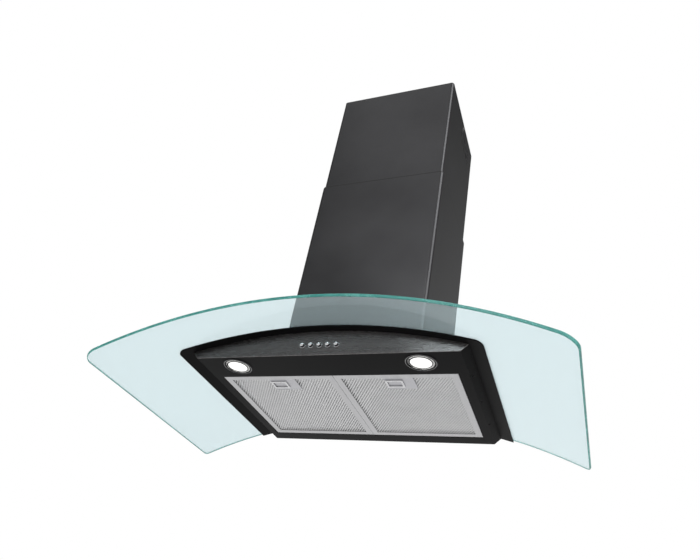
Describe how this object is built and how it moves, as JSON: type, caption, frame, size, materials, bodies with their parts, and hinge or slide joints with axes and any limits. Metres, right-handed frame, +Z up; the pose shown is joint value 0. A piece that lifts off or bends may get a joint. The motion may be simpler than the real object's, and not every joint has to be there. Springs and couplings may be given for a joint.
{
  "type": "curved glass range hood",
  "caption": "Wall-mounted range hood with a curved glass canopy, telescopic square duct cover, mesh filters, round lamps and push buttons.",
  "frame": {"origin": "middle of the lower edge of the canopy's back wall, on the wall plane and level with the flat underside", "axes": "+X to the right seen from the front, +Y out of the back into the wall, +Z up; the front faces -Y"},
  "size_m": [0.9, 0.49, 0.9356],
  "materials": {
    "black_paint": "satin charcoal powder coat",
    "front_steel": "brushed dark steel, brushed along X",
    "curved_glass": "clear safety glass with green edges",
    "pale_seal": "soft foam strip",
    "black_rubber": "matte",
    "zinc_steel": "zinc-plated sheet",
    "screw_steel": "zinc-plated, bright",
    "shaft_steel": "ground",
    "filter_aluminium": "satin rolled aluminium",
    "mesh_aluminium": "expanded mesh",
    "latch_aluminium": "satin",
    "button_chrome": "polished",
    "bezel_chrome": "polished",
    "black_plastic": "moulded",
    "bezel_plastic": "gloss",
    "grey_plastic": "moulded",
    "white_plastic": "moulded",
    "lens_white": "opal diffuser",
    "board_green": "coated laminate",
    "spring_steel": "wire"
  },
  "bodies": {
    "root": {"glass_canopy": "curved_glass", "support_frame": "black_paint", "glass_seal": "pale_seal", "upper_seal": "black_rubber", "glass_bushes": "black_rubber", "glass_bolts": "screw_steel", "glass_nuts": "screw_steel", "frame_rivets": "screw_steel", "canopy_shell": "black_paint", "front_panel": "front_steel", "button_bezels": "bezel_chrome", "button_springs": "spring_steel", "switch_block": "black_plastic", "lamp_lenses": "lens_white", "lamp_boards": "board_green", "fan_box": "zinc_steel", "back_plate": "zinc_steel", "fan_box_lid": "zinc_steel", "fan_screws": "screw_steel", "scroll_band": "grey_plastic", "motor": "zinc_steel", "motor_bracket": "zinc_steel", "control_box": "white_plastic", "control_board": "board_green", "control_lid": "white_plastic", "capacitor": "grey_plastic", "cable_gland": "black_plastic", "outlet_collar": "black_plastic", "damper_pin": "shaft_steel", "duct_cover_lower": "black_paint", "cover_seal": "black_rubber", "cover_glides": "black_plastic", "lamp_housing_left": "bezel_plastic", "scroll_side_left": "grey_plastic", "lamp_housing_right": "bezel_plastic", "scroll_side_right": "grey_plastic"},
    "impeller": {"impeller_left": "black_plastic", "impeller_right": "black_plastic", "motor_shaft": "shaft_steel", "shaft_nut": "screw_steel"},
    "damper_left": {"damper_flap_left": "black_plastic"},
    "damper_right": {"damper_flap_right": "black_plastic"},
    "upper_cover": {"duct_cover_upper": "black_paint", "ceiling_bracket": "zinc_steel", "bracket_screws": "screw_steel"},
    "button_lamp": {"button_lamp": "button_chrome"},
    "button_off": {"button_off": "button_chrome"},
    "button_low": {"button_low": "button_chrome"},
    "button_medium": {"button_medium": "button_chrome"},
    "button_high": {"button_high": "button_chrome"},
    "filter_left": {"filter_frame_left": "filter_aluminium", "filter_mesh_left": "mesh_aluminium", "latch_plate_left": "latch_aluminium", "latch_spring_left": "spring_steel"},
    "latch_left": {"latch_slider_left": "latch_aluminium"},
    "filter_right": {"filter_frame_right": "filter_aluminium", "filter_mesh_right": "mesh_aluminium", "latch_plate_right": "latch_aluminium", "latch_spring_right": "spring_steel"},
    "latch_right": {"latch_slider_right": "latch_aluminium"}
  },
  "joints": [
    {"name": "upper_cover_slide", "type": "slide", "parent": "root", "child": "upper_cover", "axis": [0, 0, 1], "range_m": [-0.29, 0.06]},
    {"name": "impeller_spin", "type": "hinge", "parent": "root", "child": "impeller", "pos_m": [0, -0.102, 0.178], "axis": [1, 0, 0], "continuous": true},
    {"name": "damper_left_swing", "type": "hinge", "parent": "root", "child": "damper_left", "pos_m": [0, -0.136, 0.3442], "axis": [0, 1, 0], "range_deg": [0, 75]},
    {"name": "damper_right_swing", "type": "hinge", "parent": "root", "child": "damper_right", "pos_m": [0, -0.136, 0.3442], "axis": [0, -1, 0], "range_deg": [0, 75]},
    {"name": "button_lamp_press", "type": "slide", "parent": "root", "child": "button_lamp", "axis": [0, 1, 0], "range_m": [0, 0.0035], "stiffness_N_per_m": 400, "springref_m": -0.0025, "deforming": ["button_springs"]},
    {"name": "button_off_press", "type": "slide", "parent": "root", "child": "button_off", "axis": [0, 1, 0], "range_m": [0, 0.0035], "stiffness_N_per_m": 400, "springref_m": -0.0025, "deforming": ["button_springs"]},
    {"name": "button_low_press", "type": "slide", "parent": "root", "child": "button_low", "axis": [0, 1, 0], "range_m": [0, 0.0035], "stiffness_N_per_m": 400, "springref_m": -0.0025, "deforming": ["button_springs"]},
    {"name": "button_medium_press", "type": "slide", "parent": "root", "child": "button_medium", "axis": [0, 1, 0], "range_m": [0, 0.0035], "stiffness_N_per_m": 400, "springref_m": -0.0025, "deforming": ["button_springs"]},
    {"name": "button_high_press", "type": "slide", "parent": "root", "child": "button_high", "axis": [0, 1, 0], "range_m": [0, 0.0035], "stiffness_N_per_m": 400, "springref_m": -0.0025, "deforming": ["button_springs"]},
    {"name": "filter_left_drop", "type": "hinge", "parent": "root", "child": "filter_left", "pos_m": [0, -0.033, 0.00135], "axis": [1, 0, 0], "range_deg": [0, 70]},
    {"name": "latch_left_pull", "type": "slide", "parent": "filter_left", "child": "latch_left", "axis": [0, 1, 0], "range_m": [0, 0.005], "stiffness_N_per_m": 300, "springref_m": -0.003, "deforming": ["latch_spring_left"]},
    {"name": "filter_right_drop", "type": "hinge", "parent": "root", "child": "filter_right", "pos_m": [0, -0.033, 0.00135], "axis": [1, 0, 0], "range_deg": [0, 70]},
    {"name": "latch_right_pull", "type": "slide", "parent": "filter_right", "child": "latch_right", "axis": [0, 1, 0], "range_m": [0, 0.005], "stiffness_N_per_m": 300, "springref_m": -0.003, "deforming": ["latch_spring_right"]}
  ]
}
